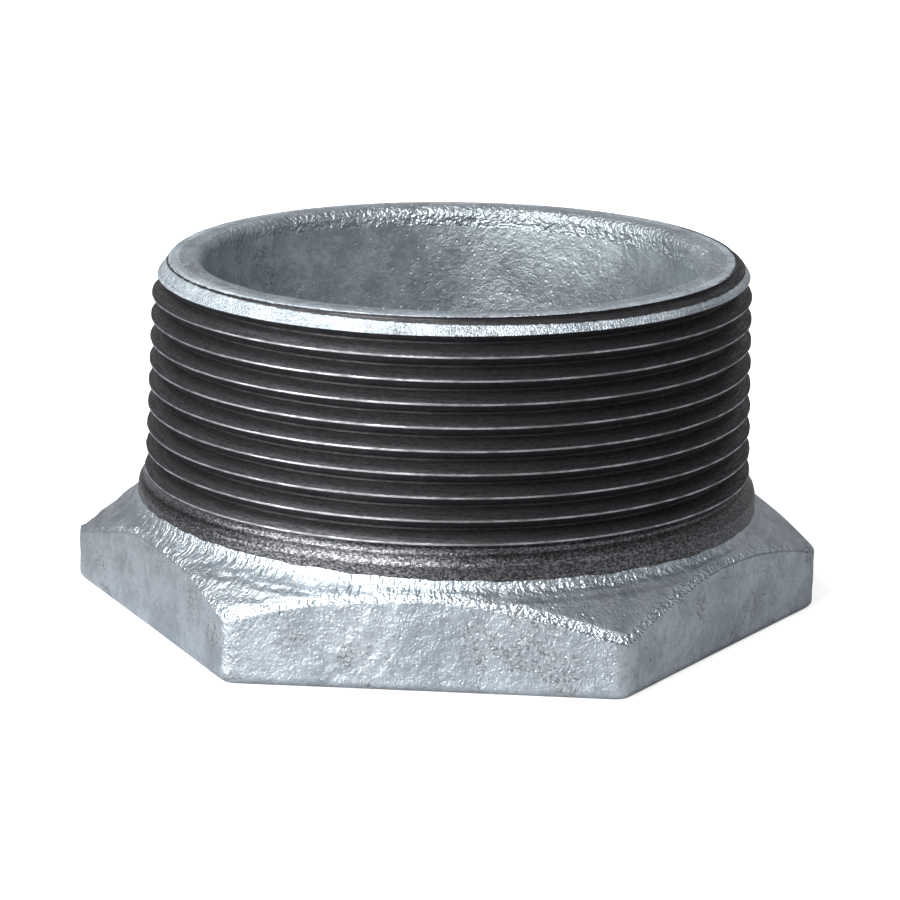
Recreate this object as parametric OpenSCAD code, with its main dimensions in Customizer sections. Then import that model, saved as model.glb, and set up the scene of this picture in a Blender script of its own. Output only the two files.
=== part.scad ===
// Hexagon reducing bush: 2 inch external taper pipe thread, 1 1/2 inch internal taper pipe thread.
// One galvanised malleable iron casting, told apart into named zones that meet face to face.
// Millimetres. The hexagon's end face lies on Z = 0, the axis is Z, the male end points up.

/* [Hexagon head] */
// Width across the flats
hex_af = 65.1; // [63:0.1:68]
// Height of a flat at its middle, where the chamfer cone meets it
flat_h = 9.2; // [8:0.1:9.6]
// Slope of the chamfer cone from the horizontal, in degrees
cone_deg = 32; // [28:1:34]
// Rounding taken off the six corners, measured on the radius
corner_trim = 0.25; // [0.1:0.05:1]
// Chamfer round the foot of the hexagon
foot_chamfer = 0.7; // [0.2:0.1:1.5]
// Width of the cast fillet between the cone and the collar
fillet_w = 1.2; // [0.8:0.1:1.2]

/* [Collar] */
// Radius of the bare collar under the thread
collar_r = 31.05; // [30.8:0.05:31.2]
// Height of the collar's lower edge above the hexagon's face
collar_z = 10.3; // [10.2:0.1:10.8]
// Height of the collar's upper edge
collar_top_z = 11.7; // [11.4:0.1:12.4]
// Fall of the shoulder above the collar, as radius for each unit of height
shoulder_slope = 0.5; // [0.3:0.05:1]

/* [External thread] */
// Crest radius at the small end
crest_r = 29.70; // [29.5:0.01:29.8]
// Thread pitch, 11.5 to the inch
pitch = 2.2088; // [2.2:0.0001:2.22]
// Depth from crest to root
thread_h = 1.50; // [1.2:0.01:1.7]
// Width of the crest and root flats as a share of the pitch
flat_share = 0.10; // [0.04:0.01:0.2]
// Height of a crest where it crosses the +X side
crest_z = 32.01; // [31:0.01:33]
// Length over which the last turns run out
runout_len = 3.3; // [2:0.1:4]

/* [Nose] */
// Overall height
total_h = 35.0; // [34.8:0.1:36]
// Outer radius of the end face
nose_r = 28.3; // [28.1:0.1:29]
// Axial height of the nose chamfer
nose_chamfer_h = 2.05; // [1:0.05:2.2]
// Depth of the nose's zone below the end face
rim_depth = 2; // [1.5:0.1:3]
// Radius of the inner lip
lip_r = 0.8; // [0.4:0.1:1]

/* [Cored passage] */
// Radius of the cored passage behind the male thread
core_r = 24.9; // [24.6:0.1:25.2]
// Outer radius of the plain tube that carries the thread
tube_r = 27.2; // [26.8:0.1:27.4]

/* [Internal thread] */
// Minor radius of the internal thread at the hexagon's face
minor_r = 21.92; // [21.85:0.01:22]
// Depth of the internal thread
female_h = 1.50; // [1.2:0.01:1.6]
// Radius of the lead-in chamfer at the face
mouth_r = 24.1; // [23.8:0.1:24.3]
// Width of a land as a share of the pitch
land_share = 0.2; // [0.1:0.05:0.3]
// Number of full lands, one to a pitch
lands = 7; // [6:1:7]
// Height at which the step up to the cored passage ends
step_top_z = 20.0; // [19.5:0.5:22]

/* [Hidden] */
$fn = 96;
// taper of a pipe thread on the radius: 1 in 16 on the diameter
taper = 1 / 32;
hex_corner_r = hex_af / 2 / cos(30);
trimmed_r = hex_corner_r - corner_trim;
corner_h = flat_h - (trimmed_r - hex_af / 2) * tan(cone_deg);
fillet_r = collar_r + fillet_w;
fillet_z = flat_h + (hex_af / 2 - fillet_r) * tan(cone_deg);
rim_root_z = total_h - rim_depth;
// width of a land of the internal thread, and the height of the first one over the lead-in
land_w = pitch * land_share;
first_land_z = mouth_r - minor_r;
// columns round the thread, and points in one pitch of its profile
cols = 96;
flats = [-flat_share / 2, flat_share / 2, 0.5 - flat_share / 2, 0.5 + flat_share / 2];
marks = len(flats);
turns = ceil((total_h - collar_top_z) / pitch) + 2;
rows = marks * turns;
// rows closer to an end than this are drawn on to it, which keeps slivers out of the mesh
snap = 0.12;
inner_r = tube_r / cos(180 / cols);

module hex_head() color("lightsteelblue")
    intersection() {
        cylinder(r = hex_corner_r, h = collar_z, $fn = 6);
        rotate_extrude() polygon([
            [tube_r, 0],
            [trimmed_r - foot_chamfer, 0],
            [trimmed_r, foot_chamfer],
            [trimmed_r, corner_h],
            [fillet_r, fillet_z],
            [collar_r, collar_z],
            [tube_r, collar_z],
        ]);
    }

module runout_collar() color("dimgray")
    tube(collar_r, tube_r, collar_z, collar_top_z);

module tube(outer, inner, low, high)
    translate([0, 0, low]) difference() {
        cylinder(r = outer, h = high - low);
        translate([0, 0, -1]) cylinder(r = inner, h = high - low + 2);
    }

// radius of the thread's crest cone
function crest_at(z) = crest_r + (total_h - z) * taper;

// radius of the turned blank before the thread is cut: the taper, with a shoulder down from the collar
function turned_at(z) = max(crest_at(z), collar_r - (z - collar_top_z) * shoulder_slope);

// radius of the chamfer at the nose
function chamfer_at(z) =
    nose_r + (total_h - z) * (crest_at(total_h - nose_chamfer_h) - nose_r) / nose_chamfer_h;

// depth of the groove, which fades out over the last turns
function depth_at(z) = thread_h * min(1, max(0, (z - collar_top_z) / runout_len));

// share of the depth at a place in the pitch, 0 at the crest and 1 at the root
function form(u) = let (v = abs(u - round(u)))
    min(1, max(0, (v - flat_share / 2) / (0.5 - flat_share)));

function thread_z(col, row) =
    crest_z + pitch * (col / cols + floor(row / marks) + flats[row % marks] - turns + 2);

function clamped_z(z) =
    z < collar_top_z + snap ? collar_top_z :
    z > total_h - snap ? total_h : z;

function thread_r(col, z) =
    min(chamfer_at(z), turned_at(z) - depth_at(z) * form((z - crest_z) / pitch - col / cols));

// first and last rows of a column that are kept; every row beyond them is the same point
function low_row(col) = max([for (j = [0:rows - 1]) if (thread_z(col, j) < collar_top_z + snap) j]);
function high_row(col) = min([for (j = [0:rows - 1]) if (thread_z(col, j) > total_h - snap) j]);

module male_thread() color("dimgray") {
    low = [for (i = [0:cols - 1]) low_row(i)];
    high = [for (i = [0:cols - 1]) high_row(i)];
    outer = [for (i = [0:cols - 1], j = [0:rows - 1])
        let (z = clamped_z(thread_z(i, j)), r = thread_r(i, z), a = 360 * i / cols)
        [r * cos(a), r * sin(a), z]];
    base = len(outer);
    ring = function (z) [for (i = [0:cols - 1])
        let (a = 360 * i / cols) [inner_r * cos(a), inner_r * sin(a), z]];
    // a row past the seam is one pitch higher on column 0
    at = function (i, j)
        let (c = i % cols, row = j + (i == cols ? marks : 0))
        c * rows + min(high[c], max(low[c], row));
    bottom = function (i) base + i % cols;
    top = function (i) base + cols + i % cols;
    walls = [for (i = [0:cols - 1], j = [-marks:rows - 2])
        each [[at(i, j), at(i, j + 1), at(i + 1, j + 1)], [at(i, j), at(i + 1, j + 1), at(i + 1, j)]]];
    ends = [for (i = [0:cols - 1]) each [
        [at(i, -marks), at(i + 1, -2 * marks), bottom(i + 1)],
        [at(i, -marks), bottom(i + 1), bottom(i)],
        [at(i, rows), top(i), top(i + 1)],
        [at(i, rows), top(i + 1), at(i + 1, rows)],
        [bottom(i), bottom(i + 1), top(i + 1)],
        [bottom(i), top(i + 1), top(i)],
    ]];
    whole = [for (f = concat(walls, ends)) if (f[0] != f[1] && f[1] != f[2] && f[2] != f[0]) f];
    polyhedron(
        points = concat(outer, ring(collar_top_z), ring(total_h)),
        faces = whole
    );
}

module nose_rim() color("lightsteelblue")
    rotate_extrude() difference() {
        polygon([
            [core_r, rim_root_z],
            [tube_r, rim_root_z],
            [tube_r, total_h],
            [core_r, total_h],
        ]);
        difference() {
            translate([core_r - 1, total_h - lip_r]) square([1 + lip_r, lip_r + 1]);
            translate([core_r + lip_r, total_h - lip_r]) circle(r = lip_r);
        }
    }

module shank_tube() color("slategray")
    tube(tube_r, core_r, 0, rim_root_z);

module female_thread() color("gray")
    rotate_extrude() polygon([
        [mouth_r, 0],
        [core_r, 0],
        [core_r, step_top_z],
        for (p = female_profile()) p,
    ]);

function minor_at(z) = minor_r - z * taper;
// the bore's outline from the step down to the mouth: a land to each pitch with a V groove between
function female_profile() = [
    for (k = [lands - 1:-1:0])
        let (low = first_land_z + k * pitch, r = minor_at(low))
        each [
            [r, low + land_w],
            [r, low],
            if (k > 0) [r + female_h, low - (pitch - land_w) / 2]
        ]
];

hex_head();
runout_collar();
male_thread();
nose_rim();
shank_tube();
female_thread();
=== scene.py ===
import math

import bmesh
import bpy
from bpy.props import FloatProperty, FloatVectorProperty, PointerProperty
from mathutils import Matrix, Vector, noise


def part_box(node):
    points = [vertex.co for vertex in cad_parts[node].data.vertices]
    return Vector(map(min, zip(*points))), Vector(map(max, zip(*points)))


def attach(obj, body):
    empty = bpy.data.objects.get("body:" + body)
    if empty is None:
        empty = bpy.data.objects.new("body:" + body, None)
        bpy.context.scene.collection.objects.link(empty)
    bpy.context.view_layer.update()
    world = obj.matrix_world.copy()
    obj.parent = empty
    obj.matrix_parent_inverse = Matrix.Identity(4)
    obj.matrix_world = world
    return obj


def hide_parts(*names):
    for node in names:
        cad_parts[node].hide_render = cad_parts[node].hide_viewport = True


bl_info = {
    "name": "Hexagon Reducing Bush",
    "version": (1, 0, 0),
    "blender": (4, 5, 0),
    "location": "View3D > Sidebar > Bush",
    "description": "Makes a galvanised hexagon bush with cut taper threads, and the table it stands on",
    "category": "Add Mesh",
}

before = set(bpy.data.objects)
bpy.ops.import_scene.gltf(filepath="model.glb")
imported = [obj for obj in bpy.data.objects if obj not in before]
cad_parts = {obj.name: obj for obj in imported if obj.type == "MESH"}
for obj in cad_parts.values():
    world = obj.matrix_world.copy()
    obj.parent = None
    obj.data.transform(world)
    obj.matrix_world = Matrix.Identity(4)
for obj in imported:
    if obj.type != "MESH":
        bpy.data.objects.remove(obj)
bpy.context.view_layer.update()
BODY = "root"
MM = 0.001

# The CAD zones' own sizes, in millimetres.
COLLAR_LOW, COLLAR_HIGH = (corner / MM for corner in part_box("runout_collar"))
RIM_LOW, RIM_HIGH = (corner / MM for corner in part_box("nose_rim"))
TUBE_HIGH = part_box("shank_tube")[1] / MM
BORE_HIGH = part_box("female_thread")[1] / MM
COLLAR_R = COLLAR_HIGH.x
TUBE_R = TUBE_HIGH.x
CORE_R = BORE_HIGH.x
TOP_Z = RIM_HIGH.z
THREAD_TAPER = 1 / 32
# The corners' leans start and are whole at these radii.
LEAN_FROM, LEAN_FULL = COLLAR_R + 0.8, COLLAR_R + 3.1
SHOULDER_EASE = 0.6

# How finely each ring is divided.
HEAD_COLUMNS, HEAD_FACE_MARKS = 1080, 74
COLLAR_COLUMNS, COLLAR_MARKS = 1200, 22
RIM_COLUMNS, TUBE_COLUMNS, TUBE_ROWS = 960, 960, 72
THREAD_STEPS, THREAD_TURNS = 384, 13
BORE_STEPS, BORE_TURNS = 324, 12
SECTORS = 12

# The chamfer was dressed by hand, so it lies a little high or low at each corner.
CORNER_LEANS = tuple(rise * MM for rise in (0.0, 0.0, -0.3, -1.0, 0.45, -0.35))


# ---------------------------------------------------------------- sizes and colours

def length(name, description, default):
    """A length in millimetres as a property in metres."""
    return FloatProperty(name=name, description=description, default=default * MM, unit="LENGTH",
                         precision=5, min=0.0)


def turn(name, description, degrees):
    """An angle in degrees as a property in radians."""
    return FloatProperty(name=name, description=description, default=math.radians(degrees), unit="ROTATION")


def share(name, description, default, most=1.0):
    """A plain number from nought up."""
    return FloatProperty(name=name, description=description, default=default, min=0.0, max=most)


def colour(name, description, default):
    """A linear colour."""
    return FloatVectorProperty(name=name, description=description, default=default, subtype="COLOR",
                               size=3, min=0.0, max=1.0)


class BushHead(bpy.types.PropertyGroup):
    """Sizes of the hexagon head"""
    flats: length("Across flats", "Width across two opposite flats", 65.1)
    flat_height: length("Flat height", "Height of a flat at its middle", 9.2)
    cone: turn("Cone slope", "Slope of the chamfer cone from the level", 32)
    corner_power: share("Corner sharpness", "Power of the rounding between two flats", 100, 400)
    leans: FloatVectorProperty(name="Corner leans", size=6, unit="LENGTH", default=CORNER_LEANS,
                               description="Rise of the chamfer at each corner, from +X round")
    foot: length("Foot radius", "Rounding at the foot of the flats", 0.8)
    edge: length("Edge radius", "Rounding between the flats and the cone", 0.7)
    fillet: length("Fillet reach", "Width of the cast fillet at the collar", 1.9)
    swell: length("Swell", "Height of the long waves in the coat", 0.08)
    lumps: length("Lumps", "Height of the short lumps in the coat", 0.048)
    ripples: length("Ripples", "Height of the ripples on the cone", 0.06)


class BushThread(bpy.types.PropertyGroup):
    """Sizes of the two taper threads"""
    pitch: length("Pitch", "Distance from crest to crest", 2.2088)
    crest: length("Crest radius", "External crest radius at the small end", 29.7)
    depth: length("Depth", "External crest to root", 1.42)
    flat: share("Crest flat", "Width of the crest and root flats as a share of the pitch", 0.09)
    start: length("Crest height", "Height of a crest on the +X side", 32.01)
    runout: length("Run-out", "Length over which the last turns fade", 3.3)
    shoulder: share("Shoulder fall", "Fall of the shoulder over the collar, radius for height", 0.5)
    minor: length("Internal radius", "Internal minor radius at the face", 21.92)
    inner_depth: length("Internal depth", "Internal minor to major", 1.5)
    mouth: length("Mouth radius", "Radius of the lead-in chamfer at the face", 24.1)


class BushNose(bpy.types.PropertyGroup):
    """Sizes of the nose"""
    radius: length("Nose radius", "Outer radius of the end face", 28.3)
    offset: length("Nose offset", "How far the cast nose lies off the axis, towards +X", 0.22)
    chamfer: length("Chamfer height", "Height of the nose chamfer", 2.05)
    lip: length("Lip radius", "Rounding of the inner lip", 1.0)
    tilt: turn("Face tilt", "Lean of the cast end face towards -X", 0.9)


class BushCoat(bpy.types.PropertyGroup):
    """Colours of the zinc and the cut iron"""
    pale: colour("Zinc, pale", "Bright parts of the zinc", (0.69, 0.76, 0.81))
    dull: colour("Zinc, dull", "Dull parts of the zinc", (0.49, 0.55, 0.60))
    ash: colour("Zinc, ash", "Dark specks in the zinc", (0.26, 0.265, 0.275))
    bore_pale: colour("Bore, pale", "Bright parts of the cored passage", (0.53, 0.59, 0.62))
    bore_dull: colour("Bore, dull", "Dull parts of the cored passage", (0.37, 0.42, 0.45))
    iron: colour("Cut iron", "Dark parts of the thread flanks", (0.050, 0.050, 0.054))
    iron_pale: colour("Streaked iron", "Pale streaks of the thread flanks", (0.135, 0.133, 0.140))
    torn_dull: colour("Torn iron, dull", "Dark grains of the turned collar", (0.070, 0.070, 0.075))
    torn_pale: colour("Torn iron, pale", "Bright grains of the turned collar", (0.26, 0.26, 0.272))
    # The crests' colour: partly wear of the bare iron, partly a painted highlight.
    bright: colour("Crest wear and highlight", "Painted highlight and wear on the thread crests", (0.62, 0.63, 0.65))


class BushStage(bpy.types.PropertyGroup):
    """The view and the lights"""
    elevation: turn("Elevation", "Height of the view", 14.74)
    swing: turn("Swing", "Turn of the view from the -Y side", 2.81)
    roll: turn("Roll", "Roll of the view", 1.555)
    distance: length("Distance", "Distance of the camera", 357.9)
    lens: FloatProperty(name="Lens", description="Focal length in millimetres", default=142.26)
    key: share("Key power", "Watts of the main light", 5.4, 1000)
    top: share("Top power", "Watts of the light over the bush", 2.0, 1000)
    back: share("Back power", "Watts of the card behind the bush", 0.08, 1000)
    card: share("Card power", "Watts of the low card before the bush", 0.5, 1000)
    side: share("Side power", "Watts of the low card on the left", 1.0, 1000)
    fill: share("Fill power", "Watts of the fill light", 0.5, 1000)
    sky: share("Sky", "Strength of the room light", 0.26, 10)


# ---------------------------------------------------------------- mesh helpers

def ring_blank(marks, columns):
    """A plain ring to forge: every vertex keeps the number of its mark round the section."""
    bm = bmesh.new()
    number = bm.verts.layers.int.new("mark")
    section = bmesh.ops.create_circle(bm, segments=marks, radius=1.0)["verts"]
    for index, vert in enumerate(section):
        vert[number] = index
    bmesh.ops.rotate(bm, verts=section, matrix=Matrix.Rotation(math.pi / 2, 3, "X"))
    bmesh.ops.translate(bm, verts=section, vec=(3, 0, 0))
    spin_by_sectors(bm, columns, 0.0)
    bmesh.ops.remove_doubles(bm, verts=bm.verts, dist=1e-4)
    return bm, number


def spin_by_sectors(bm, columns, climb):
    """Sweeps what is there through a full turn that climbs so far: one sector first, then its copies."""
    bmesh.ops.spin(bm, geom=bm.verts[:] + bm.edges[:], cent=(0, 0, 0), axis=(0, 0, 1),
                   dvec=(0, 0, climb / columns), angle=math.tau / SECTORS, steps=columns // SECTORS)
    bmesh.ops.spin(bm, geom=bm.verts[:] + bm.edges[:] + bm.faces[:], cent=(0, 0, 0), axis=(0, 0, 1),
                   dvec=(0, 0, climb / SECTORS), angle=math.tau * (SECTORS - 1) / SECTORS,
                   steps=SECTORS - 1, use_duplicate=True)


def forge(bm, number, section):
    """Moves the ring's vertices on to section(angle), a list of (radius, height) points."""
    sections = {}
    for vert in bm.verts:
        angle = math.atan2(vert.co.y, vert.co.x)
        key = round(angle, 5)
        if key not in sections:
            sections[key] = section(angle)
        radius, height = sections[key][vert[number]]
        vert.co = polar(radius, angle, height)
    bmesh.ops.recalc_face_normals(bm, faces=bm.faces)
    bm.normal_update()


def polar(radius, angle, height):
    return Vector((radius * math.cos(angle), radius * math.sin(angle), height))


def run(start, end, count):
    """Points on a straight line, without its end."""
    return [(start[0] + (end[0] - start[0]) * k / count, start[1] + (end[1] - start[1]) * k / count)
            for k in range(count)]


def bend(centre, radius, first, last, count):
    """Points on an arc, from first to last in degrees, without its end."""
    angles = [math.radians(first + (last - first) * k / count) for k in range(count)]
    return [(centre[0] + radius * math.cos(a), centre[1] + radius * math.sin(a)) for a in angles]


def evenly(points, count):
    """The line through the points, as count points at equal distances."""
    steps = [math.dist(a, b) for a, b in zip(points, points[1:])]
    total = sum(steps)
    result, walked, index = [], 0.0, 0
    for k in range(count):
        target = total * k / (count - 1)
        while index < len(steps) - 1 and walked + steps[index] < target:
            walked += steps[index]
            index += 1
        part = (target - walked) / max(steps[index], 1e-9)
        a, b = points[index], points[index + 1]
        result.append((a[0] + (b[0] - a[0]) * part, a[1] + (b[1] - a[1]) * part))
    return result


def between(value, low, high):
    """0 below low, 1 above high, and a smooth rise between them."""
    t = min(1.0, max(0.0, (value - low) / (high - low)))
    return t * t * (3 - 2 * t)


def ripple(point, size, offset=0.0):
    """Smooth noise from -1 to 1 with waves of that size."""
    return noise.noise(Vector((point.x / size + offset, point.y / size - offset, point.z / size + offset)))


def craters(point, cell, depth, radius, share_of_cells):
    """Small round pits, in some of the cells of a grid of that size."""
    distances, centres = noise.voronoi(point / cell)
    chosen = noise.cell(centres[0] * 7.3) * 0.5 + 0.5
    if chosen > share_of_cells:
        return 0.0
    reach = radius * (0.6 + chosen / share_of_cells)
    return -depth * (1 - between(distances[0] * cell, reach * 0.3, reach))


def coat_relief(point, head):
    """Height of the zinc's surface over the smooth casting, in millimetres."""
    rough = 0.30 + 1.3 * between(ripple(point, 9, 3.1), -0.2, 0.4)
    height = head.swell / MM * ripple(point, 6.5)
    height += head.lumps / MM * rough * (ripple(point, 2.1, 5.0) + 0.6 * ripple(point, 1.0, 9.0))
    height += 0.016 * rough * ripple(point, 0.5, 2.0)
    height += craters(point, 2.6, 0.10 * rough, 0.36, 0.30)
    return height


def make_piece(bm, name, zone, material, sharp=50):
    """Turns the mesh into a finished piece that stands for a CAD zone."""
    bmesh.ops.scale(bm, vec=(MM, MM, MM), verts=bm.verts)
    for face in bm.faces:
        face.smooth = True
    limit = math.radians(sharp)
    for edge in bm.edges:
        edge.smooth = edge.calc_face_angle(0.0) < limit
    mesh = bpy.data.meshes.new(name)
    bm.to_mesh(mesh)
    bm.free()
    piece = bpy.data.objects.new(name, mesh)
    bpy.context.scene.collection.objects.link(piece)
    mesh.materials.append(material)
    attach(piece, BODY)
    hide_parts(zone)
    return piece


# ---------------------------------------------------------------- shapes

def hexagon_radius(angle, head):
    """Radius of the rounded hexagon, with corners on the X axis."""
    power = head.corner_power
    total = sum(max(0.0, math.cos(angle - math.radians(30 + 60 * k))) ** power for k in range(6))
    return head.flats / MM / 2 / total ** (1 / power)


def corner_lean(angle, head):
    """How far the chamfer lies high or low, blended from corner to corner."""
    rise = 0.0
    for corner, lean in enumerate(head.leans):
        off = (angle - math.radians(60 * corner) + math.pi) % math.tau - math.pi
        if abs(off) < math.pi / 3:
            rise += lean / MM * math.cos(1.5 * off) ** 2
    return rise


def head_section(angle, head):
    """The head's outline at an angle: face, foot, flat, edge, cone, fillet, bead and hidden wall."""
    outer = hexagon_radius(angle, head)
    slope = head.cone
    half = head.flats / MM / 2
    foot, edge = head.foot / MM, head.edge / MM

    lean = corner_lean(angle, head)

    def cone_z(radius):
        rise = lean * between(radius, LEAN_FROM, LEAN_FULL)
        return head.flat_height / MM + (half - radius) * math.tan(slope) + rise

    # the rounding between flat and cone touches both
    edge_r = outer - edge
    edge_z = cone_z(edge_r) - edge / math.cos(slope)
    tangent = math.degrees(math.pi / 2 - slope)
    cone_start = edge_r + edge * math.cos(math.radians(tangent))
    flow = math.cos((angle + math.radians(150)) / 2) ** 8
    bead_z = COLLAR_LOW.z + 0.12 + 0.5 * flow + 0.16 * noise.noise(polar(16.0, angle, 0.0))
    fillet_start = min(COLLAR_R + head.fillet / MM, cone_start - 0.05)
    fillet_z = cone_z(fillet_start)
    bead = COLLAR_R + 0.16
    face = run((TUBE_R, 0.0), (outer - foot, 0.0), 9)
    visible = bend((outer - foot, foot), foot, -90, 0, 8)
    visible += run((outer, foot), (outer, edge_z), 12)
    visible += bend((edge_r, edge_z), edge, 0, tangent, 8)
    visible += run((cone_start, cone_z(cone_start)), (fillet_start, fillet_z), 12)
    for k in range(9):
        t = k / 9
        visible.append((fillet_start + (bead - fillet_start) * (1 - (1 - t) ** 1.6),
                        fillet_z + (bead_z - 0.1 - fillet_z) * t ** 1.25))
    visible.append((bead, bead_z - 0.1))
    visible.append((bead - 0.05, bead_z))
    hidden = [(COLLAR_R - 0.12, bead_z), (COLLAR_R - 0.12, COLLAR_LOW.z)]
    hidden += run((COLLAR_R - 0.2, COLLAR_LOW.z), (TUBE_R, COLLAR_LOW.z), 2)
    hidden += run((TUBE_R, COLLAR_LOW.z), (TUBE_R, 0.0), 3)
    return face + evenly(visible, HEAD_FACE_MARKS) + hidden


def head_relief(point, head):
    """Relief of the zinc on the head: ripples on the left of the cone, and a smoother coat on its right."""
    height = coat_relief(point, head)
    radius = math.hypot(point.x, point.y)
    on_cone = cone_share(point, head)
    left = between(-point.x, -6, 6)
    wobble = 1.1 * ripple(point, 3.2, 1.0) + 0.5 * ripple(point, 1.2, 4.0)
    crescents = math.sin((radius * 0.9 + point.z * 0.6) * math.tau / 0.95 + 3.0 * wobble)
    broken = between(ripple(point, 1.6, 8.0), -0.35, 0.35)
    height *= 1 - 0.6 * on_cone * (1 - left)
    height += head.ripples / MM * on_cone * (0.04 + 0.96 * left) * crescents * (0.35 + 0.65 * broken)
    return height


def cone_share(point, head):
    """1 on the chamfer cone, and 0 on the flats."""
    radius = math.hypot(point.x, point.y)
    half = head.flats / MM / 2
    lean = corner_lean(math.atan2(point.y, point.x), head)
    rise = lean * between(radius, LEAN_FROM, LEAN_FULL)
    over = point.z - (head.flat_height / MM + (half - radius) * math.tan(head.cone) + rise)
    return between(over, -0.45, -0.1)


def build_head(scene, material):
    head = scene.bush_head
    visible = range(9, 9 + HEAD_FACE_MARKS)
    bm, number = ring_blank(9 + HEAD_FACE_MARKS + 7, HEAD_COLUMNS)
    forge(bm, number, lambda angle: head_section(angle, head))
    drip = bm.verts.layers.float.new("drip")
    grit = bm.verts.layers.float.new("grit")
    moves = [(vert, vert.normal.copy()) for vert in bm.verts if vert[number] in visible]
    for vert, normal in moves:
        radius = math.hypot(vert.co.x, vert.co.y)
        corner = hexagon_radius(math.atan2(vert.co.y, vert.co.x), head)
        on_cone = cone_share(vert.co, head)
        left = between(-vert.co.x, -10, 8)
        near_collar = 1 - between(radius, COLLAR_R + 1.0, COLLAR_R + 3.5)
        vert[drip] = on_cone * (0.15 + 0.85 * left) * (0.4 + 0.6 * near_collar)
        edge = (1 - between(corner - radius, 0.1, 0.9)) * between(on_cone, 0.0, 0.3)
        beads = 0.7 * (1 - between(radius, COLLAR_R + 0.4, COLLAR_R + 1.0)) * between(vert.co.z, 8.5, 9.0)
        vert[grit] = max(edge, beads) * (1 + 1.4 * between(vert.co.x, 0, 18))
        fade = between(vert.co.z, 0.0, 0.5) * (1 - 0.6 * between(vert.co.z, 9.9, 10.3))
        vert.co += normal * head_relief(vert.co, head) * fade
    for vert in bm.verts:
        if vert[number] < 9:
            inside = between(math.hypot(vert.co.x, vert.co.y), TUBE_R, TUBE_R + 1)
            vert.co.z = 0.06 * inside * (0.5 + 0.5 * ripple(vert.co, 3.0))
        vert.co.z = max(0.0, vert.co.z)
    return make_piece(bm, "hexagon_head", "hex_head", material)


def build_collar(scene, material):
    """The bare collar, with the lathe's marks round it."""
    hidden = 5
    face = evenly([(TUBE_R + 2.6, COLLAR_LOW.z - 0.2), (COLLAR_R, COLLAR_LOW.z - 0.2)], 3)
    outer = evenly([(COLLAR_R, COLLAR_LOW.z - 0.1), (COLLAR_R, COLLAR_HIGH.z)], COLLAR_MARKS)
    wall = [(TUBE_R, COLLAR_HIGH.z), (TUBE_R, COLLAR_LOW.z)]
    bm, number = ring_blank(hidden + COLLAR_MARKS, COLLAR_COLUMNS)
    forge(bm, number, lambda angle: face + outer + wall)
    turned = bm.verts.layers.float.new("turned")
    for vert in bm.verts:
        vert[turned] = 1.0
        if not 3 <= vert[number] < 3 + COLLAR_MARKS:
            continue
        ring = noise.noise(Vector((0.0, 0.0, vert.co.z * 5.5)))
        grain = ripple(vert.co, 0.55, 3.0) + 0.7 * ripple(vert.co, 0.3, 1.0)
        out = Vector((vert.co.x, vert.co.y, 0.0)).normalized()
        below_seam = 1 - between(vert.co.z, COLLAR_HIGH.z - 0.22, COLLAR_HIGH.z)
        vert.co += out * (0.005 * ring + 0.014 * grain) * below_seam
    return make_piece(bm, "turned_collar", "runout_collar", material)


def face_plane(x, nose):
    """Height of the end face's leaning plane."""
    return TOP_Z + x * math.tan(nose.tilt)


def face_height(x, y, nose):
    """Height of the cast end face at a place, with its lean and its unevenness."""
    place = Vector((x, y, 0.0))
    uneven = 0.05 * ripple(place, 3.0, 7.0) + 0.03 * ripple(place, 1.1, 2.0) + 0.015 * ripple(place, 0.5)
    return face_plane(x, nose) + uneven


def external_radius(angle, z, x, thread, nose):
    """The radius that the cutter leaves, the chamfer's radius, and how far the place is from a crest."""
    crest_at_chamfer = thread.crest / MM + nose.chamfer / MM * THREAD_TAPER
    slope = (crest_at_chamfer - nose.radius / MM) / (nose.chamfer / MM)
    below = face_plane(x, nose) - z
    chamfer = nose.radius / MM + nose.offset / MM * math.cos(angle) + below * slope
    chamfer -= 0.10 * (1 - between(below, -0.1, 0.25)) ** 2
    crest = thread.crest / MM + (TOP_Z - z) * THREAD_TAPER
    over = max(0.0, z - COLLAR_HIGH.z)
    eased = over - SHOULDER_EASE / 2 if over > SHOULDER_EASE else over * over / SHOULDER_EASE / 2
    turned = max(crest, COLLAR_R - eased * thread.shoulder)
    fade = min(1.0, over / (thread.runout / MM))
    turns = (z - thread.start / MM) / (thread.pitch / MM) - angle / math.tau
    away = abs(turns - round(turns))
    form = min(1.0, max(0.0, (away - thread.flat / 2) / (0.5 - thread.flat)))
    cut = turned - thread.depth / MM * fade * form
    return cut, chamfer, away


def thread_marks(flat):
    """Places in one pitch, from root to root: close together at the crest and the roots."""
    half = flat / 2
    side = [0.0, half * 0.6, half, half + 0.02, half + 0.05, 0.13, 0.19, 0.25, 0.31, 0.37,
            0.5 - half - 0.03, 0.5 - half, 0.5 - half * 0.5]
    return [-s for s in reversed(side[1:])] + side + [0.5]


def thread_sheet(pitch, steps, turns, flat, base):
    """A helical sheet of radius 1: a line of marks over all the turns, swept up by one pitch in one turn."""
    bm = bmesh.new()
    marks = thread_marks(flat)
    heights = [base + pitch * -0.5] + [base + pitch * (k + place) for k in range(turns) for place in marks]
    verts = [bm.verts.new((1.0, 0.0, height)) for height in heights]
    for a, b in zip(verts, verts[1:]):
        bm.edges.new((a, b))
    spin_by_sectors(bm, steps, pitch)
    bmesh.ops.remove_doubles(bm, verts=bm.verts, dist=pitch * 0.004)
    return bm


def trim(bm, height, normal):
    """Cuts the sheet at a plane, and drops what lies on the side that the normal points to."""
    bmesh.ops.bisect_plane(bm, geom=bm.verts[:] + bm.edges[:] + bm.faces[:], dist=1e-4,
                           plane_co=(0, 0, height), plane_no=normal, clear_outer=True)


def open_edges(bm, high, middle):
    """The sheet's open edges over or under the middle."""
    return [edge for edge in bm.edges if edge.is_boundary
            and all((vert.co.z > middle) == high for vert in edge.verts)]


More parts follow.
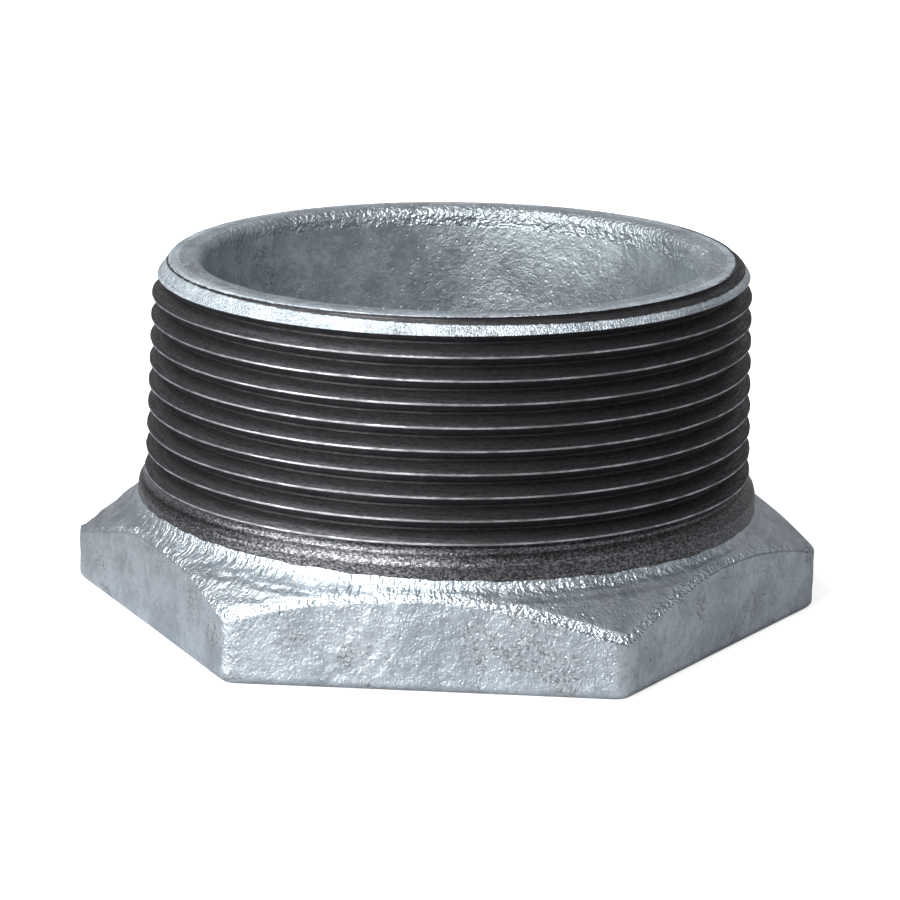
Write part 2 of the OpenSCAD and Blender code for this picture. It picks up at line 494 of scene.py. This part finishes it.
def grow(bm, edges, move):
    """Extrudes open edges and moves each new vertex with move(vertex)."""
    grown = bmesh.ops.extrude_edge_only(bm, edges=edges)["geom"]
    for vert in (g for g in grown if isinstance(g, bmesh.types.BMVert)):
        move(vert)
    return [g for g in grown if isinstance(g, bmesh.types.BMEdge) and g.is_boundary]


def build_male_thread(scene, material):
    thread, nose = scene.bush_thread, scene.bush_nose
    pitch = thread.pitch / MM
    start = thread.start / MM
    bm = thread_sheet(pitch, THREAD_STEPS, THREAD_TURNS, thread.flat, start - pitch * 11)
    for vert in bm.verts:
        angle = math.atan2(vert.co.y, vert.co.x)
        place = polar(thread.crest / MM, angle, vert.co.z)
        cut, chamfer, away = external_radius(angle, vert.co.z, place.x, thread, nose)
        tip = 1 - between(away, 0.03, 0.10)
        cut += tip * (0.035 * ripple(place, 0.9, 3.0) + 0.02 * ripple(place, 3.5, 1.0))
        cut += 0.010 * ripple(place, 1.3, 6.0)
        chamfer += 0.06 * ripple(place, 1.4, 2.0) + 0.03 * ripple(place, 0.6, 5.0)
        radius = min(cut, chamfer)
        vert.co.x = radius * math.cos(angle)
        vert.co.y = radius * math.sin(angle)
    trim(bm, TOP_Z, (-math.sin(nose.tilt), 0, math.cos(nose.tilt)))
    trim(bm, COLLAR_HIGH.z, (0, 0, -1))
    middle = (COLLAR_HIGH.z + TOP_Z) / 2
    rows = 5
    edges = open_edges(bm, True, middle)
    for row in range(rows):
        def inwards(vert, left=rows - row):
            angle = math.atan2(vert.co.y, vert.co.x)
            radius = math.hypot(vert.co.x, vert.co.y)
            radius += (TUBE_R - radius) / left
            vert.co = polar(radius, angle, 0.0)
            vert.co.z = face_height(vert.co.x, vert.co.y, nose)
        edges = grow(bm, edges, inwards)
    top = edges

    def to_wall(vert):
        angle = math.atan2(vert.co.y, vert.co.x)
        vert.co = polar(TUBE_R, angle, COLLAR_HIGH.z)

    bottom = grow(bm, open_edges(bm, False, middle), to_wall)
    bmesh.ops.bridge_loops(bm, edges=top + bottom)
    bmesh.ops.recalc_face_normals(bm, faces=bm.faces)
    coat = bm.verts.layers.float.new("coat")
    crest = bm.verts.layers.float.new("crest")
    root = bm.verts.layers.float.new("root")
    turned = bm.verts.layers.float.new("turned")
    for vert in bm.verts:
        angle = math.atan2(vert.co.y, vert.co.x)
        radius = math.hypot(vert.co.x, vert.co.y)
        cut, chamfer, away = external_radius(angle, vert.co.z, vert.co.x, thread, nose)
        on_face = between(radius, nose.radius / MM - 0.1, nose.radius / MM - 0.5)
        near_end = between(vert.co.z, TOP_Z - 1.2, TOP_Z - 0.9)
        vert[coat] = max(min(1.0, max(0.0, 0.5 + (cut - chamfer) * 2)), on_face * near_end)
        low_crest = start - pitch * (8 + abs(angle) / math.tau)
        vert[turned] = 1 - between(vert.co.z, low_crest - 0.30, low_crest - 0.05)
        past_collar = between(vert.co.z, COLLAR_HIGH.z + 0.6, COLLAR_HIGH.z + 1)
        vert[crest] = (1 - between(away, 0.02, 0.055)) * past_collar
        vert[root] = between(away, 0.5 - thread.flat / 2 - 0.02, 0.5 - thread.flat / 2)
    return make_piece(bm, "external_thread", "male_thread", material, 70)


def build_rim(scene, material):
    """The cast end face and its rounded inner lip."""
    nose = scene.bush_nose
    lip, marks = nose.lip / MM, 34

    def section(angle):
        seam = face_height(TUBE_R * math.cos(angle), TUBE_R * math.sin(angle), nose)
        lip_r = CORE_R + lip
        lip_z = TOP_Z - lip + lip_r * math.cos(angle) * math.tan(nose.tilt)
        line = [(CORE_R, RIM_LOW.z)] + run((CORE_R, lip_z - 0.01), (CORE_R, lip_z), 1)
        line += bend((lip_r, lip_z), lip, 180, 90, 10)
        line += [(lip_r, lip_z + lip), (TUBE_R, seam)]
        return evenly(line, marks) + run((TUBE_R, seam - 0.5), (TUBE_R, RIM_LOW.z), 2) \
            + run((TUBE_R, RIM_LOW.z), (CORE_R, RIM_LOW.z), 2)

    bm, number = ring_blank(marks + 4, RIM_COLUMNS)
    inside = bm.verts.layers.float.new("inside")
    grit = bm.verts.layers.float.new("grit")
    forge(bm, number, section)
    moves = [(vert, vert.normal.copy()) for vert in bm.verts if vert[number] < marks]
    for vert, normal in moves:
        on_face = between(math.hypot(vert.co.x, vert.co.y), CORE_R + lip * 0.4, CORE_R + lip * 1.2)
        vert[inside] = 1 - on_face
        vert[grit] = 1.5
        if on_face > 0.999:
            vert.co.z = face_height(vert.co.x, vert.co.y, nose)
        elif vert[number] > 0:
            flat = face_height(vert.co.x, vert.co.y, nose) - face_plane(vert.co.x, nose)
            push = (1 - on_face) * bore_relief(vert.co) + on_face * flat
            vert.co += normal * push
        else:
            vert.co += Vector((normal.x, normal.y, 0.0)).normalized() * bore_relief(vert.co)
    return make_piece(bm, "nose_rim_face", "nose_rim", material)


def bore_relief(point):
    """Soft lumps of the cored passage, in millimetres off its wall."""
    height = 0.06 * ripple(point, 4.2, 4.0) + 0.03 * ripple(point, 1.9, 1.0)
    return height + 0.014 * ripple(point, 0.8, 7.0) + craters(point, 3.4, 0.06, 0.45, 0.2)


def build_tube(scene, material):
    """The plain tube of the shank, with the cored wall inside and a ring of the foot's face."""
    def section(angle):
        wall = evenly([(CORE_R, BORE_HIGH.z), (CORE_R, TUBE_HIGH.z)], TUBE_ROWS)
        low_wall = run((CORE_R, 0.0), (CORE_R, BORE_HIGH.z), 4)
        outer = run((TUBE_R, TUBE_HIGH.z), (TUBE_R, 0.0), 4) + run((TUBE_R, 0.0), (CORE_R, 0.0), 4)
        return low_wall + wall + outer

    bm, number = ring_blank(TUBE_ROWS + 12, TUBE_COLUMNS)
    inside = bm.verts.layers.float.new("inside")
    forge(bm, number, section)
    for vert in bm.verts:
        if 4 <= vert[number] < 4 + TUBE_ROWS:
            inwards = Vector((-vert.co.x, -vert.co.y, 0.0)).normalized()
            fade = between(vert.co.z, BORE_HIGH.z, BORE_HIGH.z + 0.6)
            vert.co += inwards * bore_relief(vert.co) * fade
            vert[inside] = 1.0
    return make_piece(bm, "shank_core", "shank_tube", material)


def build_female_thread(scene, material):
    """The internal thread, cut from the hexagon's face up to the step."""
    thread = scene.bush_thread
    pitch = thread.pitch / MM
    bm = thread_sheet(pitch, BORE_STEPS, BORE_TURNS, thread.flat, -pitch)
    for vert in bm.verts:
        angle = math.atan2(vert.co.y, vert.co.x)
        turns = vert.co.z / pitch - angle / math.tau
        away = abs(turns - round(turns))
        form = min(1.0, max(0.0, (away - thread.flat / 2) / (0.5 - thread.flat)))
        minor = thread.minor / MM - vert.co.z * THREAD_TAPER
        mouth = thread.mouth / MM - max(0.0, vert.co.z)
        step = CORE_R - (BORE_HIGH.z - vert.co.z) * 1.3
        radius = max(minor + thread.inner_depth / MM * form, mouth, step)
        radius = min(CORE_R, radius - 0.01 * ripple(polar(minor, angle, vert.co.z), 1.1))
        vert.co.x = radius * math.cos(angle)
        vert.co.y = radius * math.sin(angle)
    trim(bm, BORE_HIGH.z, (0, 0, 1))
    trim(bm, 0.0, (0, 0, -1))

    def to_wall(vert):
        angle = math.atan2(vert.co.y, vert.co.x)
        vert.co = polar(CORE_R, angle, vert.co.z)

    middle = BORE_HIGH.z / 2
    bottom = grow(bm, open_edges(bm, False, middle), to_wall)
    top = grow(bm, open_edges(bm, True, middle), to_wall)
    bmesh.ops.bridge_loops(bm, edges=top + bottom)
    bmesh.ops.remove_doubles(bm, verts=bm.verts, dist=0.002)
    bmesh.ops.recalc_face_normals(bm, faces=bm.faces)
    crest = bm.verts.layers.float.new("crest")
    for vert in bm.verts:
        angle = math.atan2(vert.co.y, vert.co.x)
        turns = vert.co.z / pitch - angle / math.tau
        away = abs(turns - round(turns))
        vert[crest] = 1 - between(away, thread.flat / 2, thread.flat / 2 + 0.03)
    return make_piece(bm, "internal_thread", "female_thread", material, 70)


# ---------------------------------------------------------------- materials

def place_node(tree, kind, inputs=None, **settings):
    """Adds a node. An input is a value, or the socket that feeds it."""
    made = tree.nodes.new(kind)
    for name, value in settings.items():
        setattr(made, name, value)
    for key, value in (inputs or {}).items():
        if isinstance(value, bpy.types.NodeSocket):
            tree.links.new(value, made.inputs[key])
        else:
            made.inputs[key].default_value = value
    return made


def effect(name, inputs, outputs):
    """An empty node group with named sockets."""
    tree = bpy.data.node_groups.new(name, "ShaderNodeTree")
    for socket, kind in inputs.items():
        tree.interface.new_socket(name=socket, in_out="INPUT", socket_type=kind)
    for socket, kind in outputs.items():
        tree.interface.new_socket(name=socket, in_out="OUTPUT", socket_type=kind)
    return tree, tree.nodes.new("NodeGroupInput").outputs, tree.nodes.new("NodeGroupOutput").inputs


FLOAT, VECTOR, COLOR = "NodeSocketFloat", "NodeSocketVector", "NodeSocketColor"


def math_node(tree, operation, a, b=0.0, clamp=False):
    made = place_node(tree, "ShaderNodeMath", {0: a, 1: b}, operation=operation)
    made.use_clamp = clamp
    return made.outputs[0]


def mix_colours(tree, factor, a, b, blend="MIX"):
    made = place_node(tree, "ShaderNodeMix", data_type="RGBA", blend_type=blend)
    for index, value in ((0, factor), (6, a), (7, b)):
        if isinstance(value, bpy.types.NodeSocket):
            tree.links.new(value, made.inputs[index])
        else:
            made.inputs[index].default_value = value
    return made.outputs[2]


def noise_value(tree, vector, scale, detail=3.0, roughness=0.55, distortion=0.0):
    made = place_node(tree, "ShaderNodeTexNoise",
                      {"Vector": vector, "Scale": scale, "Detail": detail, "Roughness": roughness,
                       "Distortion": distortion})
    return made.outputs["Fac"]


def spread(tree, value, low, high, to_low=0.0, to_high=1.0):
    made = place_node(tree, "ShaderNodeMapRange",
                      {"Value": value, "From Min": low, "From Max": high, "To Min": to_low,
                       "To Max": to_high}, interpolation_type="SMOOTHSTEP")
    return made.outputs["Result"]


def spread_evenly(tree, value, to_low, to_high):
    made = place_node(tree, "ShaderNodeMapRange", {"Value": value, "To Min": to_low, "To Max": to_high})
    made.clamp = False
    return made.outputs["Result"]


def make_grain_effect():
    """Height of a rough surface: coarse lumps, fine grain and sharp pinholes."""
    tree, given, out = effect("Cast grain", {"Vector": VECTOR, "Lumps": FLOAT, "Grain": FLOAT,
                                             "Pinholes": FLOAT}, {"Height": FLOAT})
    lumps = noise_value(tree, given["Vector"], 1300, 2.0)
    grain = noise_value(tree, given["Vector"], 4200, 3.0, 0.6)
    cells = place_node(tree, "ShaderNodeTexVoronoi", {"Vector": given["Vector"], "Scale": 1100.0})
    holes = spread(tree, cells.outputs["Distance"], 0.02, 0.22)
    height = math_node(tree, "MULTIPLY", lumps, given["Lumps"])
    height = math_node(tree, "ADD", height, math_node(tree, "MULTIPLY", grain, given["Grain"]))
    height = math_node(tree, "ADD", height, math_node(tree, "MULTIPLY", holes, given["Pinholes"]))
    tree.links.new(height, out["Height"])
    return tree


def make_mottle_effect():
    """Clouded colour of the zinc, with ash specks in clusters."""
    tree, given, out = effect("Mottled coat", {"Vector": VECTOR, "Pale": COLOR, "Dull": COLOR,
                                               "Ash": COLOR, "Specks": FLOAT},
                              {"Color": COLOR, "Mask": FLOAT})
    cloud = noise_value(tree, given["Vector"], 260, 4.0, 0.6, 0.4)
    fine = noise_value(tree, given["Vector"], 1500, 3.0, 0.65)
    both = math_node(tree, "ADD", math_node(tree, "MULTIPLY", cloud, 0.6),
                     math_node(tree, "MULTIPLY", fine, 0.4))
    base = mix_colours(tree, spread(tree, both, 0.40, 0.60), given["Dull"], given["Pale"])
    cluster = spread(tree, noise_value(tree, given["Vector"], 170, 2.0), 0.52, 0.66)
    dots = spread(tree, noise_value(tree, given["Vector"], 3300, 2.0, 0.6), 0.50, 0.62)
    lone = spread(tree, noise_value(tree, given["Vector"], 1500, 1.0, 0.5), 0.70, 0.78)
    specks = math_node(tree, "MULTIPLY", cluster, dots)
    specks = math_node(tree, "MAXIMUM", specks, math_node(tree, "MULTIPLY", lone, 0.8))
    specks = math_node(tree, "MULTIPLY", specks, given["Specks"], clamp=True)
    tree.links.new(mix_colours(tree, specks, base, given["Ash"]), out["Color"])
    tree.links.new(specks, out["Mask"])
    return tree


def make_streak_effect():
    """Tool marks that run round the axis."""
    tree, given, out = effect("Tool streaks", {"Vector": VECTOR}, {"Streak": FLOAT, "Height": FLOAT})
    long = place_node(tree, "ShaderNodeMapping", {"Vector": given["Vector"], "Scale": (0.08, 0.08, 3.0)})
    short = place_node(tree, "ShaderNodeMapping", {"Vector": given["Vector"], "Scale": (0.5, 0.5, 2.6)})
    fine = noise_value(tree, long.outputs[0], 3000, 3.0, 0.6)
    broken = noise_value(tree, short.outputs[0], 3400, 3.0, 0.65)
    both = math_node(tree, "ADD", math_node(tree, "MULTIPLY", fine, 0.5),
                     math_node(tree, "MULTIPLY", broken, 0.5))
    tree.links.new(spread(tree, both, 0.38, 0.64), out["Streak"])
    tree.links.new(both, out["Height"])
    return tree


def make_drip_effect():
    """Height of fine ridges that run down from the collar, and of the bumps along an edge."""
    tree, given, out = effect("Frozen drips", {"Vector": VECTOR, "Drips": FLOAT, "Bumps": FLOAT},
                              {"Height": FLOAT})
    axes = place_node(tree, "ShaderNodeSeparateXYZ", {0: given["Vector"]}).outputs
    flat = place_node(tree, "ShaderNodeCombineXYZ", {"X": axes["X"], "Y": axes["Y"]}).outputs[0]
    reach = place_node(tree, "ShaderNodeVectorMath", {0: flat}, operation="LENGTH").outputs["Value"]
    round_it = place_node(tree, "ShaderNodeVectorMath", {0: flat}, operation="NORMALIZE").outputs[0]
    wall = place_node(tree, "ShaderNodeVectorMath", {0: round_it, "Scale": COLLAR_R * MM},
                      operation="SCALE").outputs[0]
    along = place_node(tree, "ShaderNodeCombineXYZ", {"Z": math_node(tree, "MULTIPLY", reach, 0.45)})
    place = place_node(tree, "ShaderNodeVectorMath", {0: wall, 1: along.outputs[0]}, operation="ADD")
    ridges = noise_value(tree, place.outputs[0], 1900, 2.0, 0.5, 0.4)
    bumps = noise_value(tree, given["Vector"], 2100, 1.5, 0.5)
    height = math_node(tree, "ADD", math_node(tree, "MULTIPLY", ridges, given["Drips"]),
                       math_node(tree, "MULTIPLY", bumps, given["Bumps"]))
    tree.links.new(height, out["Height"])
    return tree


def make_broken_mask_effect():
    """A mask broken up by noise: the ragged edge of the zinc, and the crests' wear with their painted
    highlight.
    """
    tree, given, out = effect("Broken edge", {"Vector": VECTOR, "Mask": FLOAT, "Scale": FLOAT,
                                              "Break": FLOAT}, {"Mask": FLOAT})
    speck = noise_value(tree, given["Vector"], given["Scale"], 3.0, 0.6)
    shift = math_node(tree, "MULTIPLY", math_node(tree, "SUBTRACT", speck, 0.5), given["Break"])
    tree.links.new(spread(tree, math_node(tree, "ADD", given["Mask"], shift), 0.35, 0.65), out["Mask"])
    return tree


def group(tree, effect_tree, **inputs):
    """Puts an effect into a material."""
    made = tree.nodes.new("ShaderNodeGroup")
    made.node_tree = effect_tree
    for key, value in inputs.items():
        if isinstance(value, bpy.types.NodeSocket):
            tree.links.new(value, made.inputs[key])
        elif hasattr(value, "__len__") and len(value) == 3:
            made.inputs[key].default_value = (*value, 1.0)
        else:
            made.inputs[key].default_value = value
    return made.outputs


def new_material(name):
    material = bpy.data.materials.new(name)
    material.use_nodes = True
    tree = material.node_tree
    tree.nodes.clear()
    shader = tree.nodes.new("ShaderNodeBsdfPrincipled")
    output = tree.nodes.new("ShaderNodeOutputMaterial")
    tree.links.new(shader.outputs[0], output.inputs["Surface"])
    vector = tree.nodes.new("ShaderNodeTexCoord").outputs["Object"]
    return material, tree, shader, vector


def bump(tree, height, distance):
    made = place_node(tree, "ShaderNodeBump", {"Height": height, "Distance": distance, "Strength": 1.0})
    return made.outputs["Normal"]


def make_zinc(name, look, rough, relief):
    """Hot-dip zinc: clouded, specked and grainy, and duller where the inside attribute says so."""
    material, tree, shader, vector = new_material(name)
    inside = place_node(tree, "ShaderNodeAttribute", attribute_name="inside").outputs["Fac"]
    pale = mix_colours(tree, inside, (*look.pale, 1.0), (*look.bore_pale, 1.0))
    dull = mix_colours(tree, inside, (*look.dull, 1.0), (*look.bore_dull, 1.0))
    coat = group(tree, bpy.data.node_groups["Mottled coat"], Vector=vector, Pale=pale, Dull=dull,
                 Ash=look.ash, Specks=1.0)
    grain = group(tree, bpy.data.node_groups["Cast grain"], Vector=vector, Lumps=0.6, Grain=0.40,
                  Pinholes=0.30)
    tree.links.new(coat["Color"], shader.inputs["Base Color"])
    roughness = math_node(tree, "ADD", spread(tree, coat["Mask"], 0.0, 1.0, rough, rough + 0.2),
                          math_node(tree, "MULTIPLY", inside, 0.12))
    tree.links.new(roughness, shader.inputs["Roughness"])
    drip = place_node(tree, "ShaderNodeAttribute", attribute_name="drip").outputs["Fac"]
    grit = place_node(tree, "ShaderNodeAttribute", attribute_name="grit").outputs["Fac"]
    ridges = group(tree, bpy.data.node_groups["Frozen drips"], Vector=vector, Drips=drip, Bumps=grit)
    height = math_node(tree, "ADD", grain["Height"], math_node(tree, "MULTIPLY", ridges["Height"], 1.6))
    tree.links.new(bump(tree, height, relief * MM), shader.inputs["Normal"])
    shader.inputs["Metallic"].default_value = 1.0
    return material


def make_iron(name, look, brightness, grit, rough):
    """Cut iron: near black, paler where the tool has streaked it, brightened on the crests by wear and by a
    painted highlight, darkened in the roots by painted shade, and grainy where only turned.
    """
    material, tree, shader, vector = new_material(name)
    streak = group(tree, bpy.data.node_groups["Tool streaks"], Vector=vector)
    grain = group(tree, bpy.data.node_groups["Cast grain"], Vector=vector, Lumps=0.15, Grain=0.7,
                  Pinholes=0.15)
    marks = {key: place_node(tree, "ShaderNodeAttribute", attribute_name=key).outputs["Fac"]
             for key in ("crest", "root", "turned", "coat")}
    dark = tuple(channel * brightness for channel in look.iron)
    pale = tuple(channel * brightness for channel in look.iron_pale)
    base = mix_colours(tree, streak["Streak"], (*dark, 1.0), (*pale, 1.0))
    combed = place_node(tree, "ShaderNodeMapping", {"Vector": vector, "Scale": (0.7, 0.7, 1.2)}).outputs[0]
    grains = spread(tree, noise_value(tree, combed, 4600, 2.0, 0.6), 0.42, 0.62)
    torn = mix_colours(tree, grains, (*look.torn_dull, 1.0), (*look.torn_pale, 1.0))
    base = mix_colours(tree, marks["turned"], base, torn)
    # Painted shade: the thread roots are darkened towards a third of the dark iron colour.
    painted_root_shade = math_node(tree, "MULTIPLY", marks["root"], 0.6)
    base = mix_colours(tree, painted_root_shade, base, (*(channel * 0.3 for channel in dark), 1.0))
    # The crests are brightened towards the crest colour and broken up by noise: partly wear of the bare
    # iron, partly a painted highlight.
    crest_wear_and_highlight = group(tree, bpy.data.node_groups["Broken edge"], Vector=vector, Mask=marks["crest"], Scale=2400.0,
                 Break=1.7)["Mask"]
    patchy = spread(tree, noise_value(tree, vector, 420, 2.0), 0.35, 0.65, 0.35, 1.0)
    crest_wear_and_highlight = math_node(tree, "MULTIPLY", crest_wear_and_highlight, patchy)
    base = mix_colours(tree, crest_wear_and_highlight, base, (*look.bright, 1.0))
    rise = spread(tree, marks["turned"], 0.0, 1.0, 0.9, 2.8)
    height = math_node(tree, "ADD", math_node(tree, "MULTIPLY", streak["Height"], 0.5),
                       math_node(tree, "MULTIPLY", grain["Height"], rise))
    roughness = spread(tree, streak["Streak"], 0.0, 1.0, rough + 0.05, rough - 0.05)
    glossy = math_node(tree, "MAXIMUM", math_node(tree, "MULTIPLY", crest_wear_and_highlight, 0.15),
                       math_node(tree, "MULTIPLY", marks["turned"], 0.21))
    roughness = math_node(tree, "SUBTRACT", roughness, glossy)
    mask = group(tree, bpy.data.node_groups["Broken edge"], Vector=vector,
                 Mask=spread_evenly(tree, marks["coat"], -0.58, 1.42), Scale=1500.0, Break=0.7)["Mask"]
    coat = group(tree, bpy.data.node_groups["Mottled coat"], Vector=vector, Pale=look.pale,
                 Dull=look.dull, Ash=look.ash, Specks=0.9)
    base = mix_colours(tree, mask, base, coat["Color"])
    lumps = math_node(tree, "MULTIPLY", grain["Height"], math_node(tree, "MULTIPLY", mask, 9.0))
    height = math_node(tree, "ADD", height, lumps)
    tree.links.new(base, shader.inputs["Base Color"])
    tree.links.new(roughness, shader.inputs["Roughness"])
    tree.links.new(bump(tree, height, grit * MM), shader.inputs["Normal"])
    shader.inputs["Metallic"].default_value = 1.0
    return material


def finish_named(name):
    """A finish made by the finishes operator."""
    return bpy.data.materials[name]


# ---------------------------------------------------------------- operators

class BUSH_OT_finishes(bpy.types.Operator):
    """Make the zinc and cut iron finishes"""
    bl_idname = "bush.finishes"
    bl_label = "Finishes"

    def execute(self, context):
        look = context.scene.bush_coat
        make_grain_effect()
        make_mottle_effect()
        make_streak_effect()
        make_drip_effect()
        make_broken_mask_effect()
        make_zinc("dipped_zinc", look, 0.37, 0.16)
        make_iron("turned_iron", look, 1.0, 0.035, 0.50)
        make_iron("bore_iron", look, 3.5, 0.03, 0.36)
        return {"FINISHED"}


class BUSH_OT_head(bpy.types.Operator):
    """Make the hexagon head"""
    bl_idname = "bush.head"
    bl_label = "Hexagon head"

    def execute(self, context):
        build_head(context.scene, finish_named("dipped_zinc"))
        return {"FINISHED"}


class BUSH_OT_collar(bpy.types.Operator):
    """Make the turned collar"""
    bl_idname = "bush.collar"
    bl_label = "Turned collar"

    def execute(self, context):
        build_collar(context.scene, finish_named("turned_iron"))
        return {"FINISHED"}


class BUSH_OT_threads(bpy.types.Operator):
    """Make the external and the internal thread"""
    bl_idname = "bush.threads"
    bl_label = "Taper threads"

    def execute(self, context):
        build_male_thread(context.scene, finish_named("turned_iron"))
        build_female_thread(context.scene, finish_named("bore_iron"))
        return {"FINISHED"}


class BUSH_OT_shank(bpy.types.Operator):
    """Make the nose rim and the cored shank"""
    bl_idname = "bush.shank"
    bl_label = "Rim and shank"

    def execute(self, context):
        build_rim(context.scene, finish_named("dipped_zinc"))
        build_tube(context.scene, finish_named("dipped_zinc"))
        return {"FINISHED"}


def area_light(name, place, target, size, power, tint):
    data = bpy.data.lights.new(name, "AREA")
    data.shape = "RECTANGLE"
    data.size, data.size_y = size
    data.energy = power
    data.color = tint
    light = bpy.data.objects.new(name, data)
    bpy.context.scene.collection.objects.link(light)
    light.location = place
    light.rotation_euler = (Vector(target) - Vector(place)).to_track_quat("-Z", "Y").to_euler()
    return light


def towards(azimuth, elevation, distance):
    """A place seen from the origin: azimuth from the view's own side, positive to its right."""
    a, e = math.radians(azimuth - 87.2), math.radians(elevation)
    return (distance * math.cos(e) * math.cos(a), distance * math.cos(e) * math.sin(a),
            distance * math.sin(e))


def build_camera(stage):
    e, turn_z = stage.elevation, Matrix.Rotation(stage.swing, 3, "Z")
    forward = Vector((0, math.cos(e), -math.sin(e)))
    right = Vector((1, 0, 0))
    up = right.cross(forward)
    across = math.cos(stage.roll) * right + math.sin(stage.roll) * up
    upright = -math.sin(stage.roll) * right + math.cos(stage.roll) * up
    aim = Vector((0, 0, 18.0)) * MM
    place = aim - forward * stage.distance + across * 0.136 * MM - upright * 2.978 * MM
    turned = turn_z @ Matrix((across, upright, -forward)).transposed()
    data = bpy.data.cameras.new("bench_camera")
    data.lens = stage.lens
    data.sensor_width = 36.0
    data.clip_start = 0.01
    camera = bpy.data.objects.new("bench_camera", data)
    bpy.context.scene.collection.objects.link(camera)
    camera.matrix_world = Matrix.Translation(turn_z @ place) @ turned.to_4x4()
    bpy.context.scene.camera = camera


def build_floor():
    """A wide pale table top with a trace of unevenness."""
    bm = bmesh.new()
    bmesh.ops.create_circle(bm, cap_ends=True, segments=96, radius=2.5)
    bmesh.ops.translate(bm, verts=bm.verts, vec=(0, 0, -0.00002))
    mesh = bpy.data.meshes.new("table_top")
    bm.to_mesh(mesh)
    bm.free()
    floor = bpy.data.objects.new("table_top", mesh)
    bpy.context.scene.collection.objects.link(floor)
    material, tree, shader, vector = new_material("pale_table")
    seen = tree.nodes.new("ShaderNodeLightPath").outputs["Is Camera Ray"]
    cloud = noise_value(tree, vector, 3.0, 2.0)
    pale = mix_colours(tree, cloud, (0.80, 0.80, 0.80, 1), (0.84, 0.84, 0.84, 1))
    tree.links.new(mix_colours(tree, seen, (0.34, 0.34, 0.35, 1), pale), shader.inputs["Base Color"])
    glow = mix_colours(tree, seen, (0, 0, 0, 1), (1, 1, 1, 1))
    tree.links.new(glow, shader.inputs["Emission Color"])
    shader.inputs["Emission Strength"].default_value = 0.7
    shader.inputs["Roughness"].default_value = 0.9
    shader.inputs["Specular IOR Level"].default_value = 0.1
    mesh.materials.append(material)


def build_room(sky):
    """The room round the table: white to the eye, and a dim even light on the bush."""
    world = bpy.data.worlds.new("room")
    world.use_nodes = True
    tree = world.node_tree
    seen = tree.nodes.new("ShaderNodeLightPath").outputs["Is Camera Ray"]
    tint = mix_colours(tree, seen, (sky, sky, sky * 1.04, 1), (1, 1, 1, 1))
    tree.links.new(tint, tree.nodes["Background"].inputs["Color"])
    bpy.context.scene.world = world


class BUSH_OT_stage(bpy.types.Operator):
    """Make the table, the lights and the camera"""
    bl_idname = "bush.stage"
    bl_label = "Stage"

    def execute(self, context):
        stage = context.scene.bush_stage
        build_floor()
        target = (0, 0, 0.018)
        area_light("key_light", towards(-34, 38, 0.7), target, (0.30, 0.30), stage.key, (1, 1, 1))
        area_light("top_light", towards(-75, 66, 0.7), target, (0.30, 0.30), stage.top, (1, 1, 1))
        area_light("back_card", towards(170, 25, 0.8), target, (0.5, 0.3), stage.back, (1, 1, 1))
        area_light("side_card", towards(-62, 8, 0.5), target, (0.20, 0.12), stage.side, (1, 1, 1))
        area_light("front_card", towards(-28, 6, 0.5), target, (0.25, 0.10), stage.card, (1, 1, 1))
        area_light("fill_light", towards(55, 30, 0.8), target, (0.5, 0.5), stage.fill, (1, 1, 1))
        build_room(stage.sky)
        context.scene.view_settings.view_transform = "Standard"
        build_camera(stage)
        return {"FINISHED"}


class BUSH_PT_panel(bpy.types.Panel):
    """Sizes, finishes and steps of the bush"""
    bl_label = "Hexagon bush"
    bl_idname = "BUSH_PT_panel"
    bl_space_type = "VIEW_3D"
    bl_region_type = "UI"
    bl_category = "Bush"

    def draw(self, context):
        for operator in STEPS:
            self.layout.operator(operator.bl_idname)
        for name in GROUPS:
            box = self.layout.box()
            settings = getattr(context.scene, name)
            for key in settings.bl_rna.properties.keys():
                if key not in ("rna_type", "name"):
                    box.prop(settings, key)


GROUPS = {"bush_head": BushHead, "bush_thread": BushThread, "bush_nose": BushNose,
          "bush_coat": BushCoat, "bush_stage": BushStage}
STEPS = (BUSH_OT_finishes, BUSH_OT_head, BUSH_OT_collar, BUSH_OT_threads, BUSH_OT_shank, BUSH_OT_stage)
CLASSES = (*GROUPS.values(), *STEPS, BUSH_PT_panel)


def register():
    for cls in CLASSES:
        bpy.utils.register_class(cls)
    for name, cls in GROUPS.items():
        setattr(bpy.types.Scene, name, PointerProperty(type=cls))


def unregister():
    for name in GROUPS:
        delattr(bpy.types.Scene, name)
    for cls in reversed(CLASSES):
        bpy.utils.unregister_class(cls)


def main():
    register()
    bpy.ops.bush.finishes()
    bpy.ops.bush.head()
    bpy.ops.bush.collar()
    bpy.ops.bush.threads()
    bpy.ops.bush.shank()
    bpy.ops.bush.stage()


if __name__ == "__main__":
    main()
